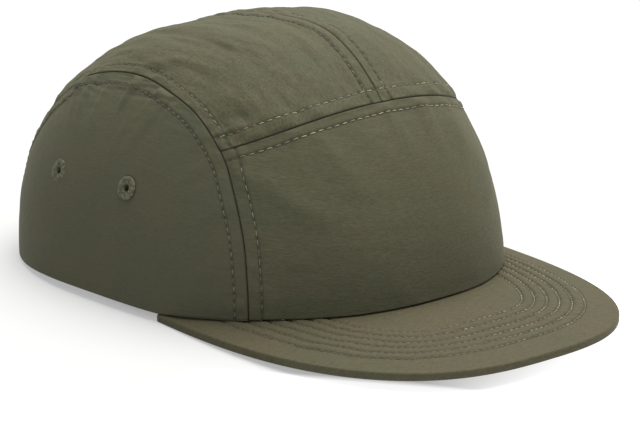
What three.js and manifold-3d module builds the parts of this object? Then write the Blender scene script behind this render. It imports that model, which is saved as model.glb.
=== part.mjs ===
// Five panel cap: a soft crown of five sewn cloth panels, a flat peak, four embroidered eyelets
// and a strap with a slider across the rear opening.
// Millimetres, +Z up. The peak points along -Y and the wearer's right is at -X.
// The origin lies on the surface that the cap rests on, under the middle of the cap's outline.

import * as THREE from 'three';
import { mergeVertices } from 'three/addons/utils/BufferGeometryUtils.js';
import Module from 'manifold-3d';

const wasm = await Module();
wasm.setup();

// Driving dimensions of the crown
const crownLength = 193.6;
const crownWidth = 164;
const crownHeight = 99.8;
const frontRimLift = 7;
const apexForward = 20;
const clothThickness = 1.6;
const hemThickness = 2.4;
const hemHeight = 20;
const seamGap = 0.3;

// Driving dimensions of the peak
const peakLength = 61.3;
const peakThickness = 3;
const peakTuck = 3;
const peakTipSag = 1.8;

// Driving dimensions of the front seam, eyelets, rear opening, strap and slider
const frontSeamHeight = 78;
const frontSeamWidth = 110;
const frontSeamDrop = 13.4;
const eyeletDiameter = 9.6;
const eyeletHole = 3.2;
const eyeletCore = 6;
const eyeletRim = 0.6;
const openingWidth = 70;
const openingHeight = 46;
const strapWidth = 20;
const strapThickness = 1.6;
const strapLap = 12;
const strapLift = 4;
const strapClear = 0.6;
const sliderLength = 16;
const sliderWall = 1.6;

// Plan of the rim: a rounded rectangle, wider behind its middle by the swell
const rim = { squareness: 2.526, rearSwell: 0.15 };

// Upright profiles of the crown. Lean draws the top in, bulge pushes the middle out,
// both as shares of the rim's half length or half width
const profiles = {
  front: { squareness: 2.415, lean: -0.215, bulge: 0.018 },
  side: { squareness: 2.208, lean: -0.009, bulge: -0.005 },
  rear: { squareness: 1.887, lean: 0.404, bulge: -0.076 },
};

// Angles round the rim, in degrees from the front, where it settles from side height to the surface
const rimSettles = { from: 90, to: 140 };

// Side seam in side view: shares of the crown's half length (front negative) and of its height
const sideSeam = [
  { along: -0.688, up: 0.02 },
  { along: -0.671, up: 0.19 },
  { along: -0.63, up: 0.36 },
  { along: -0.548, up: 0.523 },
  { along: -0.447, up: 0.645 },
  { along: -0.274, up: 0.745 },
  { along: -0.057, up: 0.797 },
  { along: 0.126, up: 0.811 },
  { along: 0.31, up: 0.786 },
  { along: 0.462, up: 0.728 },
  { along: 0.6, up: 0.61 },
  { along: 0.722, up: 0.44 },
  { along: 0.815, up: 0.24 },
  { along: 0.868, up: 0.02 },
];

// Front seam in front view: how fast it falls away from the middle
const frontSeamCurve = 2.3;

// Cutting regions: the front seam's runs past the side seams by the overshoot, and the side
// seams' start at this share of the crown's half width
const frontSeamOvershoot = 1.5;
const seamClear = 0.3;

// Plan and lift of the peak's outer edge: where it leaves the rim, in degrees from the front
const peakEdge = { rimAngle: 76.3, squareness: 2.698, middleDip: 0.92 };

// Eyelets: shares of the crown's half length (front negative) and of its height
const eyeletPlaces = {
  front: { along: -0.097, up: 0.457 },
  rear: { along: 0.316, up: 0.438 },
};

// Mesh steps
const steps = { round: 64, up: 14, seam: 40, peakRound: 48, peakAcross: 5, nose: 4, strap: 20, ring: 16 };

const halfLength = crownLength / 2;
const halfWidth = crownWidth / 2;
const sideRimLift = peakThickness + seamGap;
const right = -1;
const left = 1;
const outside = 40;

// Signed power, which keeps a superellipse whole in all four quarters
function signedPower(value, power) {
  return Math.sign(value) * Math.abs(value) ** power;
}

// Superellipse angle that lies in the direction of an even angle, so that points spread evenly
function spreadAngle(angle, squareness) {
  const power = squareness / 2;
  return Math.atan2(signedPower(Math.sin(angle), power), signedPower(Math.cos(angle), power));
}

// Plan of the rim at an angle from the front
function rimPlan(theta) {
  const backward = -signedPower(Math.cos(theta), 2 / rim.squareness);
  const across = signedPower(Math.sin(theta), 2 / rim.squareness) * (1 + rim.rearSwell * backward);
  return new THREE.Vector2(-halfWidth * across, halfLength * backward);
}

// Height of the rim: arched over the peak, level at the sides and flat on the surface at the rear
function rimHeight(theta) {
  const degrees = THREE.MathUtils.radToDeg(Math.abs(theta));
  const overPeak = Math.min(degrees / peakEdge.rimAngle, 1);
  const settled = THREE.MathUtils.smoothstep(degrees, rimSettles.from, rimSettles.to);
  return sideRimLift * (1 - settled) + frontRimLift * (1 - overPeak ** 2);
}

// Profile at an angle: front, side and rear profiles blended by direction
function profileAt(theta) {
  const front = Math.max(Math.cos(theta), 0) ** 2;
  const rear = Math.max(-Math.cos(theta), 0) ** 2;
  const side = 1 - front - rear;
  const blend = (key) => front * profiles.front[key] + side * profiles.side[key] + rear * profiles.rear[key];
  return { squareness: blend('squareness'), lean: blend('lean'), bulge: blend('bulge') };
}

// Outer surface of the crown at angle theta round the rim and phi up to the apex
function crownPoint(theta, phi) {
  const { squareness, lean, bulge } = profileAt(theta);
  const reach = Math.max(Math.cos(phi), 0) ** (2 / squareness);
  const rise = Math.max(Math.sin(phi), 0) ** (2 / squareness);
  const spread = reach * (1 + lean * rise + 4 * bulge * rise * (1 - rise));
  const plan = rimPlan(theta);
  return new THREE.Vector3(
    plan.x * spread,
    -apexForward * (1 - reach) + plan.y * spread,
    rimHeight(theta) * (1 - rise) + crownHeight * rise,
  );
}

// Outward normal of the crown, level along the rim so that the rim's edge stays flat
function crownNormal(theta, phi) {
  const small = 1e-3;
  const low = Math.max(phi - small, small);
  const round = crownPoint(theta - small, phi).sub(crownPoint(theta + small, phi));
  const up = crownPoint(theta, low + 2 * small).sub(crownPoint(theta, low));
  const normal = new THREE.Vector3().crossVectors(round, up).normalize();
  if (phi === 0) normal.setZ(0).normalize();
  return normal;
}

// Point at a depth inside the crown's outer surface
function crownInside(theta, phi, depth) {
  return crownPoint(theta, phi).addScaledVector(crownNormal(theta, phi), -depth);
}

// Angle phi at which the crown reaches a height
function phiAtHeight(theta, height) {
  const lift = rimHeight(theta);
  const rise = THREE.MathUtils.clamp((height - lift) / (crownHeight - lift), 0, 1);
  return Math.asin(rise ** (profileAt(theta).squareness / 2));
}

// Angle theta on one side at which the crown, at a height, has a place along its length
function thetaAtPlace(side, along, height) {
  let low = 0;
  let high = Math.PI;
  for (let halving = 0; halving < 40; halving += 1) {
    const middle = (low + high) / 2;
    if (crownPoint(middle, phiAtHeight(middle, height)).y < along) low = middle;
    else high = middle;
  }
  return -side * low;
}

// Closed mesh from points and triangles
function meshGeometry(points, triangles) {
  const geometry = new THREE.BufferGeometry();
  const numbers = points.flatMap((point) => point.toArray());
  geometry.setAttribute('position', new THREE.Float32BufferAttribute(numbers, 3));
  geometry.setIndex(triangles.flat());
  return geometry;
}

// Solid swept through closed sections, each the same number of points, with flat ends
function sweptGeometry(sections) {
  const count = sections[0].length;
  const triangles = [];
  for (let s = 0; s + 1 < sections.length; s += 1) {
    for (let k = 0; k < count; k += 1) {
      const next = (k + 1) % count;
      const a = s * count + k;
      const b = s * count + next;
      triangles.push([a, b, b + count], [a, b + count, a + count]);
    }
  }
  const last = (sections.length - 1) * count;
  for (let k = 1; k + 1 < count; k += 1) {
    triangles.push([0, k + 1, k], [last, last + k, last + k + 1]);
  }
  return meshGeometry(sections.flat(), triangles);
}

function toSolid(geometry) {
  const bare = geometry.clone();
  bare.deleteAttribute('normal');
  bare.deleteAttribute('uv');
  const merged = mergeVertices(bare, 1e-5);
  return new wasm.Manifold(new wasm.Mesh({
    numProp: 3,
    vertProperties: new Float32Array(merged.attributes.position.array),
    triVerts: new Uint32Array(merged.index.array),
  }));
}

function toGeometry(solid) {
  const mesh = solid.getMesh();
  const geometry = new THREE.BufferGeometry();
  geometry.setAttribute('position', new THREE.BufferAttribute(new Float32Array(mesh.vertProperties), 3));
  geometry.setIndex(new THREE.BufferAttribute(new Uint32Array(mesh.triVerts), 1));
  geometry.computeVertexNormals();
  return geometry;
}

// Prism along X over an outline in side view, where the outline's first number is Y
function sidewaysPrism(outline, fromX, toX) {
  const geometry = new THREE.ExtrudeGeometry(new THREE.Shape(outline), {
    depth: toX - fromX,
    bevelEnabled: false,
  });
  geometry.rotateX(Math.PI / 2);
  geometry.rotateZ(Math.PI / 2);
  geometry.translate(fromX, 0, 0);
  return toSolid(geometry);
}

// Prism along Y over an outline in front view
function lengthwisePrism(outline, fromY, toY) {
  const geometry = new THREE.ExtrudeGeometry(new THREE.Shape(outline), {
    depth: toY - fromY,
    bevelEnabled: false,
  });
  geometry.rotateX(Math.PI / 2);
  geometry.translate(0, toY, 0);
  return toSolid(geometry);
}

// Closed shell of the whole crown before it is cut into panels
function crownShell() {
  const points = [];
  const triangles = [];
  const turns = Array.from({ length: steps.round }, (_, i) => spreadAngle(
    -Math.PI + (2 * Math.PI * i) / steps.round,
    rim.squareness,
  ));
  const climbs = Array.from({ length: steps.up }, (_, j) => spreadAngle(
    (Math.PI / 2) * (j / steps.up),
    profiles.side.squareness,
  ));
  const depthAt = (point) => (point.z < hemHeight ? hemThickness : clothThickness);
  for (const phi of climbs) {
    for (const theta of turns) points.push(crownPoint(theta, phi));
  }
  for (const phi of climbs) {
    for (const theta of turns) points.push(crownInside(theta, phi, depthAt(crownPoint(theta, phi))));
  }
  const outerApex = points.length;
  const innerApex = outerApex + 1;
  const apex = new THREE.Vector3(0, -apexForward, crownHeight);
  points.push(apex, apex.clone().setZ(crownHeight - clothThickness));
  const inner = steps.up * steps.round;
  for (let i = 0; i < steps.round; i += 1) {
    const next = (i + 1) % steps.round;
    for (let j = 0; j + 1 < steps.up; j += 1) {
      const a = j * steps.round + i;
      const b = j * steps.round + next;
      const c = b + steps.round;
      const d = a + steps.round;
      triangles.push([a, c, b], [a, d, c]);
      triangles.push([inner + a, inner + b, inner + c], [inner + a, inner + c, inner + d]);
    }
    const topRow = (steps.up - 1) * steps.round;
    triangles.push([topRow + i, outerApex, topRow + next]);
    triangles.push([inner + topRow + i, inner + topRow + next, innerApex]);
    triangles.push([i, next, inner + next], [i, inner + next, inner + i]);
  }
  return toSolid(meshGeometry(points, triangles));
}

// Region under one side seam, widened or narrowed by an offset
function underSideSeam(side, offset) {
  const curve = new THREE.SplineCurve(sideSeam.map((row) => new THREE.Vector2(
    row.along * halfLength,
    row.up * crownHeight,
  )));
  const arch = Array.from({ length: steps.seam + 1 }, (_, i) => {
    const share = i / steps.seam;
    const tangent = curve.getTangent(share);
    return curve.getPoint(share).add(new THREE.Vector2(-tangent.y, tangent.x).multiplyScalar(offset));
  });
  const foot = (point) => new THREE.Vector2(point.x, -outside);
  const outline = [foot(arch[0]), ...arch, foot(arch[steps.seam])];
  const near = side * halfWidth * seamClear;
  const far = side * (halfWidth + outside);
  return sidewaysPrism(outline.reverse(), Math.min(near, far), Math.max(near, far));
}

// Region below the front seam, at the front of the crown only
function belowFrontSeam(offset) {
  const width = frontSeamWidth / 2;
  const edge = Array.from({ length: steps.seam + 1 }, (_, i) => {
    const across = frontSeamOvershoot * (1 - (2 * i) / steps.seam);
    const height = frontSeamHeight - frontSeamDrop * Math.abs(across) ** frontSeamCurve;
    return new THREE.Vector2(across * width, height + offset);
  });
  const outline = [
    new THREE.Vector2(-frontSeamOvershoot * width, -outside),
    new THREE.Vector2(frontSeamOvershoot * width, -outside),
    ...edge,
  ];
  return lengthwisePrism(outline, -halfLength - outside, -apexForward);
}

// Rear opening: upright sides under a half ellipse
function rearOpening() {
  const half = openingWidth / 2;
  const straight = openingHeight - half;
  const outline = new THREE.Shape();
  outline.moveTo(-half, -outside);
  outline.lineTo(half, -outside);
  outline.lineTo(half, straight);
  outline.absarc(0, straight, half, 0, Math.PI, false);
  outline.closePath();
  return lengthwisePrism(outline.getPoints(steps.ring), apexForward, halfLength + outside);
}

// One half of everything, kept clear of the centre seam
function halfSpace(side) {
  const near = side * (seamGap / 2);
  const far = side * (halfWidth + outside);
  const end = halfLength + outside;
  const outline = [
    new THREE.Vector2(-end, -outside),
    new THREE.Vector2(end, -outside),
    new THREE.Vector2(end, crownHeight + outside),
    new THREE.Vector2(-end, crownHeight + outside),
  ];
  return sidewaysPrism(outline, Math.min(near, far), Math.max(near, far));
}

// Place and turn of an eyelet, whose own axis is Z, on the crown
function eyeletMatrix(side, place) {
  const height = place.up * crownHeight;
  const theta = thetaAtPlace(side, place.along * halfLength, height);
  const phi = phiAtHeight(theta, height);
  const turn = new THREE.Quaternion().setFromUnitVectors(new THREE.Vector3(0, 0, 1), crownNormal(theta, phi));
  return new THREE.Matrix4().compose(crownPoint(theta, phi), turn, new THREE.Vector3(1, 1, 1));
}

// Bore for an eyelet through a side panel
function eyeletBore(side, place) {
  const radius = eyeletCore / 2 + seamGap;
  const bore = new THREE.CylinderGeometry(radius, radius, 8 * clothThickness, steps.ring);
  bore.rotateX(Math.PI / 2);
  bore.applyMatrix4(eyeletMatrix(side, place));
  return toSolid(bore);
}

// Eyelet: a ring of thread wrapped over both faces of the cloth, whose inner rim also clears
// the hollow of the curved wall
function eyeletGeometry() {
  const hole = eyeletHole / 2;
  const core = eyeletCore / 2;
  const reach = eyeletDiameter / 2;
  const cup = reach ** 2 / crownWidth;
  const top = seamGap;
  const under = -clothThickness - seamGap - cup;
  return new THREE.LatheGeometry([
    new THREE.Vector2(hole, under - eyeletRim),
    new THREE.Vector2(reach - eyeletRim, under - eyeletRim),
    new THREE.Vector2(reach, under),
    new THREE.Vector2(core, under),
    new THREE.Vector2(core, top),
    new THREE.Vector2(reach, top),
    new THREE.Vector2(reach - eyeletRim, top + eyeletRim),
    new THREE.Vector2(hole, top + eyeletRim),
    new THREE.Vector2(hole, under - eyeletRim),
  ], steps.ring).rotateX(Math.PI / 2);
}

// Outer edge of the peak, from one end on the rim round the tip to the other
function peakOuter(share) {
  const end = rimPlan(THREE.MathUtils.degToRad(peakEdge.rimAngle));
  const angle = spreadAngle((share * Math.PI) / 2, peakEdge.squareness);
  const across = signedPower(Math.sin(angle), 2 / peakEdge.squareness);
  const forward = Math.max(Math.cos(angle), 0) ** (2 / peakEdge.squareness);
  const endMiddle = peakThickness / 2;
  const tipMiddle = sideRimLift + frontRimLift - seamGap - peakThickness / 2 - peakTipSag;
  const height = endMiddle + (tipMiddle - endMiddle) * forward
    - 4 * peakEdge.middleDip * forward * (1 - forward);
  const tip = -halfLength - peakLength;
  return new THREE.Vector3(across * end.x, end.y + (tip - end.y) * forward, height);
}

// Inner edge of the peak, tucked under the crown's rim
function peakInner(share) {
  const reach = spreadAngle(THREE.MathUtils.degToRad(peakEdge.rimAngle), 4 / rim.squareness);
  const theta = spreadAngle(share * reach, rim.squareness);
  const point = crownInside(theta, 0, peakTuck);
  return point.setZ(rimHeight(theta) - seamGap - peakThickness / 2);
}

// Section across the peak: flat above and below, with a round nose at the outer edge
function peakSection(share) {
  const inner = peakInner(share);
  const outer = peakOuter(share);
  const across = new THREE.Vector3(outer.x - inner.x, outer.y - inner.y, 0);
  const width = across.length();
  const nose = peakThickness / 2;
  across.normalize();
  const place = (distance, offset) => inner.clone()
    .addScaledVector(across, distance)
    .setZ(THREE.MathUtils.lerp(inner.z, outer.z, Math.min(distance / width, 1)) + offset);
  const stops = Array.from({ length: steps.peakAcross }, (_, k) => ((width - nose) * k) / steps.peakAcross);
  const round = Array.from({ length: steps.nose + 1 }, (_, k) => {
    const angle = Math.PI / 2 - (Math.PI * k) / steps.nose;
    return place(width - nose + nose * Math.cos(angle), nose * Math.sin(angle));
  });
  return [
    ...stops.map((distance) => place(distance, nose)),
    ...round,
    ...stops.reverse().map((distance) => place(distance, -nose)),
  ];
}

function peakGeometry() {
  const shares = Array.from({ length: steps.peakRound + 1 }, (_, i) => 1 - (2 * i) / steps.peakRound);
  return sweptGeometry(shares.map(peakSection));
}

// Angle back from the rear of the rim at which it has a distance across
function rimAngleBehind(across) {
  let low = 0;
  let high = Math.PI / 2;
  for (let halving = 0; halving < 40; halving += 1) {
    const middle = (low + high) / 2;
    if (Math.abs(rimPlan(Math.PI - middle).x) < across) low = middle;
    else high = middle;
  }
  return low;
}

// Strap: an upright band that follows the inside of the hem across the opening
function strapGeometry() {
  const reach = openingWidth / 2 + strapLap;
  const front = hemThickness + strapClear + strapThickness;
  const sections = Array.from({ length: steps.strap + 1 }, (_, i) => {
    const across = reach * (1 - (2 * i) / steps.strap);
    const theta = Math.PI - Math.sign(across) * rimAngleBehind(Math.abs(across));
    const place = (depth, height) => crownInside(theta, 0, depth).setZ(height);
    return [
      place(front - strapThickness, strapLift),
      place(front - strapThickness, strapLift + strapWidth),
      place(front, strapLift + strapWidth),
      place(front, strapLift),
    ];
  });
  return sweptGeometry(sections);
}

// Slider: one plain sleeve round the strap at the middle of the opening
function sliderGeometry() {
  const clear = 2 * seamGap;
  const slot = { high: strapWidth + clear, deep: strapThickness + 2 * clear };
  const body = { high: slot.high + 2 * sliderWall, deep: slot.deep + 2 * sliderWall };
  const box = (size) => [
    new THREE.Vector2(-size.deep / 2, -size.high / 2),
    new THREE.Vector2(size.deep / 2, -size.high / 2),
    new THREE.Vector2(size.deep / 2, size.high / 2),
    new THREE.Vector2(-size.deep / 2, size.high / 2),
  ];
  const outline = new THREE.Shape(box(body));
  outline.holes.push(new THREE.Path(box(slot)));
  const geometry = new THREE.ExtrudeGeometry(outline, { depth: sliderLength, bevelEnabled: false });
  geometry.translate(0, 0, -sliderLength / 2);
  geometry.rotateX(Math.PI / 2);
  geometry.rotateZ(Math.PI / 2);
  return geometry;
}

// Middle of the strap at the centre of the opening
function sliderPlace() {
  const depth = hemThickness + strapClear + strapThickness / 2;
  return crownInside(Math.PI, 0, depth).setZ(strapLift + strapWidth / 2);
}

function finish(color, roughness) {
  return new THREE.MeshStandardMaterial({ color, roughness, metalness: 0 });
}

function piece(name, geometry, material) {
  const mesh = new THREE.Mesh(geometry, material);
  mesh.name = name;
  return mesh;
}

const colors = {
  panel: 0x5b5a47,
  top: 0x6d6955,
  peak: 0x716c59,
  thread: 0x5a5946,
  strap: 0x4e4d3e,
  slider: 0x2c2c28,
};
const sides = [[right, 'right'], [left, 'left']];
const shell = crownShell();
const opening = rearOpening();
const withoutSides = sides.reduce((rest, [side]) => rest.subtract(underSideSeam(side, seamGap / 2)), shell);

const cap = new THREE.Group();
cap.add(piece(
  'front_panel',
  toGeometry(withoutSides.intersect(belowFrontSeam(-seamGap / 2))),
  finish(colors.panel, 0.85),
));

for (const [side, word] of sides) {
  const sidePanel = Object.values(eyeletPlaces).reduce(
    (panel, place) => panel.subtract(eyeletBore(side, place)),
    shell.intersect(underSideSeam(side, -seamGap / 2)).subtract(opening),
  );
  cap.add(piece(`side_panel_${word}`, toGeometry(sidePanel), finish(colors.panel, 0.85)));
  const topPanel = withoutSides
    .intersect(halfSpace(side))
    .subtract(belowFrontSeam(seamGap / 2))
    .subtract(opening);
  cap.add(piece(`top_panel_${word}`, toGeometry(topPanel), finish(colors.top, 0.85)));
  for (const [where, place] of Object.entries(eyeletPlaces)) {
    const ring = piece(`eyelet_${word}_${where}`, eyeletGeometry(), finish(colors.thread, 0.7));
    ring.applyMatrix4(eyeletMatrix(side, place));
    cap.add(ring);
  }
}

cap.add(piece('peak', peakGeometry(), finish(colors.peak, 0.85)));
cap.add(piece('back_strap', strapGeometry(), finish(colors.strap, 0.8)));

const slider = piece('strap_buckle', sliderGeometry(), finish(colors.slider, 0.5));
slider.position.copy(sliderPlace());
cap.add(slider);

// The middle of the outline comes over the origin
const outlineBox = new THREE.Box3().setFromObject(cap);
cap.position.y = -(outlineBox.min.y + outlineBox.max.y) / 2;

export default cap;
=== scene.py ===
import math
import bpy
import numpy as np
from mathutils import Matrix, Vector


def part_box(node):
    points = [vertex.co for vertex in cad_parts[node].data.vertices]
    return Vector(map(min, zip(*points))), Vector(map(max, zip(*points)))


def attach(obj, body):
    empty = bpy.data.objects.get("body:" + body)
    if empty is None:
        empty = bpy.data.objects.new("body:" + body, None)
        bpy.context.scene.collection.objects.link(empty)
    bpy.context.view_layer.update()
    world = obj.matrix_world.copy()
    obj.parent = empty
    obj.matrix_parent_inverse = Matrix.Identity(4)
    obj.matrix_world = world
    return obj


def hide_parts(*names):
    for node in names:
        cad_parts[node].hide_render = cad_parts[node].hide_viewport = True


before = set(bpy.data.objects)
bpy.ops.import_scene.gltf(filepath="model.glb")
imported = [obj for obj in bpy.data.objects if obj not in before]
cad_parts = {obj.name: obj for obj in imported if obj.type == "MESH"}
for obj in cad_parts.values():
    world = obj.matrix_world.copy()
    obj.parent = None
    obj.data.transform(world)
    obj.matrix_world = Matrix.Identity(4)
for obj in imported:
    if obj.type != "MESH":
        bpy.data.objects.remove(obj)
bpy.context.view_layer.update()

mm = 0.001
mapUnit = 100.0         # millimetres of cloth to one unit of its map

# Sizes of the crown in millimetres, as the solids have them
crown = dict(
    length=193.6, width=164.0, height=99.8, apexForward=20.0,
    frontRimLift=7.0, sideRimLift=3.3, peakRimAngle=76.3, rimSettles=(90.0, 140.0),
    rimSquareness=2.526, rearSwell=0.15, stepSquareness=2.208,
    squareness=(2.415, 2.208, 1.887),       # front, side and rear profile
    lean=(-0.215, -0.009, 0.404),
    bulge=(0.018, -0.005, -0.076),
)
crown["halfLength"] = crown["length"] / 2
crown["halfWidth"] = crown["width"] / 2

# The frame says how far the crown's middle lies behind the origin
peakLength = 61.3
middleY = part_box("peak")[0].y / mm + peakLength + crown["halfLength"]

# Seam lines in millimetres or in shares of half the length and of the height
seams = dict(
    side=np.array([
        (-0.688, 0.02), (-0.671, 0.19), (-0.63, 0.36), (-0.548, 0.523), (-0.447, 0.645),
        (-0.274, 0.745), (-0.057, 0.797), (0.126, 0.811), (0.31, 0.786), (0.462, 0.728),
        (0.6, 0.61), (0.722, 0.44), (0.815, 0.24), (0.868, 0.02)]),
    frontHeight=78.0, frontDrop=13.4, frontHalfWidth=55.0, frontCurve=2.3,
    openingHalfWidth=35.0, openingHeight=46.0,
)
# Points worked out along each line
samples = dict(side=700, foot=20, front=200, arch=160, upright=30, centre=500, rim=400)

eyelets = dict(
    front=(-0.097, 0.457), rear=(0.316, 0.438),      # shares of half the length and of the height
    hole=1.4, reach=4.5, cut=3.0, rise=0.5,          # millimetres
    pad=0.45, belly=0.5, core=(3.0, 2.9), coreTop=-0.25,      # what lies under the cloth and in the hole
    roundness=0.8, grip=0.5, arcPoints=13,
    wraps=40, wrapDepth=0.16, wrapPoints=5, uneven=0.12, sway=0.6,
)


# Noise and small helpers


noiseTables = np.random.default_rng(11).uniform(-1, 1, (32, 64, 64))


def softNoise(x, y, layer):
    # Random values on a square lattice, blended between lattice points by the quintic step
    table = noiseTables[layer % len(noiseTables)]
    xi = np.floor(x).astype(int)
    yi = np.floor(y).astype(int)
    fx = x - xi
    fy = y - yi
    sx = fx ** 3 * (fx * (fx * 6 - 15) + 10)
    sy = fy ** 3 * (fy * (fy * 6 - 15) + 10)
    size = table.shape[0]
    a = table[xi % size, yi % size]
    b = table[(xi + 1) % size, yi % size]
    c = table[xi % size, (yi + 1) % size]
    d = table[(xi + 1) % size, (yi + 1) % size]
    return (a * (1 - sx) + b * sx) * (1 - sy) + (c * (1 - sx) + d * sx) * sy


def smoothStep(value, low, high):
    t = np.clip((value - low) / (high - low), 0, 1)
    return t * t * (3 - 2 * t)


def signedPower(value, power):
    return np.sign(value) * np.abs(value) ** power


def spreadAngle(angle, squareness):
    # The superellipse angle that lies in the direction of an even angle
    power = squareness / 2
    return np.arctan2(signedPower(np.sin(angle), power), signedPower(np.cos(angle), power))


def unit(vectors):
    return vectors / np.maximum(np.linalg.norm(vectors, axis=-1, keepdims=True), 1e-12)


def lengthAlong(points):
    # Length of a line of points up to each of them
    return np.concatenate([[0], np.cumsum(np.linalg.norm(np.diff(points, axis=0), axis=1))])


# The crown's surface


def rimPlan(theta):
    # A superellipse, made wider behind its middle: across = sin^(2/n) (1 + swell back), back = -cos^(2/n)
    back = -signedPower(np.cos(theta), 2 / crown["rimSquareness"])
    across = signedPower(np.sin(theta), 2 / crown["rimSquareness"]) * (1 + crown["rearSwell"] * back)
    return -crown["halfWidth"] * across, crown["halfLength"] * back


def rimHeight(theta):
    # A parabola over the peak, level at the sides and a smooth step down to the floor at the rear
    degrees = np.degrees(np.abs(theta))
    overPeak = np.minimum(degrees / crown["peakRimAngle"], 1)
    settled = smoothStep(degrees, *crown["rimSettles"])
    return crown["sideRimLift"] * (1 - settled) + crown["frontRimLift"] * (1 - overPeak ** 2)


def profileAt(theta, key):
    # Front, side and rear values weighted by cos^2 forwards, the rest, and cos^2 backwards
    front = np.maximum(np.cos(theta), 0) ** 2
    rear = np.maximum(-np.cos(theta), 0) ** 2
    values = crown[key]
    return front * values[0] + (1 - front - rear) * values[1] + rear * values[2]


def crownSurface(theta, phi):
    # The rim's plan shrinks by cos^(2/m) phi and leans, while the height grows by sin^(2/m) phi
    power = 2 / profileAt(theta, "squareness")
    reach = np.maximum(np.cos(phi), 0) ** power
    rise = np.maximum(np.sin(phi), 0) ** power
    lean = profileAt(theta, "lean")
    bulge = profileAt(theta, "bulge")
    spread = reach * (1 + lean * rise + 4 * bulge * rise * (1 - rise))
    x, y = rimPlan(theta)
    return np.stack([
        x * spread,
        middleY - crown["apexForward"] * (1 - reach) + y * spread,
        rimHeight(theta) * (1 - rise) + crown["height"] * rise], axis=-1)


def crownNormal(theta, phi):
    # Cross product of the surface's two slopes, measured over a small step, and level along the rim
    small = 2e-3
    levelUpTo = 0.05
    low = np.clip(phi - small, small, math.pi / 2 - 4 * small)
    round_ = crownSurface(theta - small, low) - crownSurface(theta + small, low)
    up = crownSurface(theta, low + 2 * small) - crownSurface(theta, low)
    normal = unit(np.cross(round_, up))
    level = smoothStep(phi, 0.0, levelUpTo)[..., None]
    return unit(normal * np.concatenate([np.ones_like(level), np.ones_like(level), level], axis=-1))


def fromMap(place):
    # The map is a disc seen from above: its edge is the rim and its middle the apex
    radius = np.minimum(np.linalg.norm(place, axis=-1), 1.0)
    turn = np.arctan2(-place[..., 0], -place[..., 1])
    theta = spreadAngle(turn, crown["rimSquareness"])
    phi = spreadAngle((1 - radius) * math.pi / 2, crown["stepSquareness"])
    return theta, phi


def toMap(theta, phi):
    turn = spreadAngle(theta, 4 / crown["rimSquareness"])
    radius = 1 - spreadAngle(phi, 4 / crown["stepSquareness"]) / (math.pi / 2)
    return np.stack([-np.sin(turn) * radius, -np.cos(turn) * radius], axis=-1)


def phiAtHeight(theta, height):
    lift = rimHeight(theta)
    rise = np.clip((height - lift) / (crown["height"] - lift), 0, 1)
    return np.arcsin(rise ** (profileAt(theta, "squareness") / 2))


def thetaWhere(axis, value, height, low, high, halvings=40):
    # Halves the range of angles until the surface, at that height, has that coordinate
    low = np.full_like(value, low)
    high = np.full_like(value, high)
    growing = crownSurface(high, phiAtHeight(high, height))[..., axis] \
        > crownSurface(low, phiAtHeight(low, height))[..., axis]
    for _ in range(halvings):
        middle = (low + high) / 2
        under = crownSurface(middle, phiAtHeight(middle, height))[..., axis] < value
        goUp = under == growing
        low = np.where(goUp, middle, low)
        high = np.where(goUp, high, middle)
    return (low + high) / 2


def thetaOnSide(back, height, clear=0.01):
    # Where the side's surface lies that far behind the crown's middle, clear of both ends
    return thetaWhere(1, back + middleY, height, clear, math.pi - clear)


# Seam lines on the map, for the wearer's right side at -X


def splineThrough(points, count):
    # Catmull-Rom curve through the rows, each span a cubic whose slope comes from its neighbours
    t = np.linspace(0, len(points) - 1, count)
    i = np.minimum(t.astype(int), len(points) - 2)
    w = (t - i)[:, None]
    p0 = points[np.maximum(i - 1, 0)]
    p1 = points[i]
    p2 = points[i + 1]
    p3 = points[np.minimum(i + 2, len(points) - 1)]
    v0 = (p2 - p0) / 2
    v1 = (p3 - p1) / 2
    return (2 * p1 - 2 * p2 + v0 + v1) * w ** 3 + (-3 * p1 + 3 * p2 - 2 * v0 - v1) * w ** 2 + v0 * w + p1


def curveLength(place):
    return lengthAlong(crownSurface(*fromMap(place)))


def along(place, shares):
    # Points of a map line at shares of its real length
    length = curveLength(place)
    at = np.asarray(shares) * length[-1]
    return np.stack([np.interp(at, length, place[:, k]) for k in range(2)], axis=-1)


def mirrored(place, side):
    return place * np.array([-side, 1.0])


def sideSeamLine():
    # The seam's side view, run down to the rim at both ends and put on the surface
    view = splineThrough(seams["side"], samples["side"]) * np.array([crown["halfLength"], crown["height"]])
    down = np.linspace(view[-1, 1], 0, samples["foot"] + 1)[1:]
    view = np.concatenate([view, np.stack([np.full_like(down, view[-1, 0]), down], axis=-1)])
    theta = thetaOnSide(view[:, 0], view[:, 1])
    above = view[:, 1] >= rimHeight(theta) - 1e-6
    start = int(np.argmax(above))
    return toMap(theta[start:], phiAtHeight(theta, view[:, 1])[start:])


def frontSeamHeightAt(x):
    # Highest in the middle, and lower by a power of the way out
    drop = seams["frontDrop"] * (np.abs(x) / seams["frontHalfWidth"]) ** seams["frontCurve"]
    return seams["frontHeight"] - drop


def frontSeamLine(endX):
    # From the middle out to the side seam
    x = np.linspace(0, endX, samples["front"])
    height = frontSeamHeightAt(x)
    theta = thetaWhere(0, -x, height, 0.0, math.pi / 2)
    return toMap(theta, phiAtHeight(theta, height))


def openingLine():
    # The rear opening's edge: a half circle on upright sides, from its top down to the rim
    half = seams["openingHalfWidth"]
    straight = seams["openingHeight"] - half
    turn = np.linspace(math.pi / 2, 0, samples["arch"])
    down = np.linspace(straight, 0, samples["upright"] + 1)[1:]
    x = np.concatenate([half * np.cos(turn), np.full_like(down, half)])
    height = np.concatenate([straight + half * np.sin(turn), down])
    theta = thetaWhere(0, -x, height, math.pi / 2, math.pi)
    return toMap(theta, phiAtHeight(theta, height))


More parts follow.
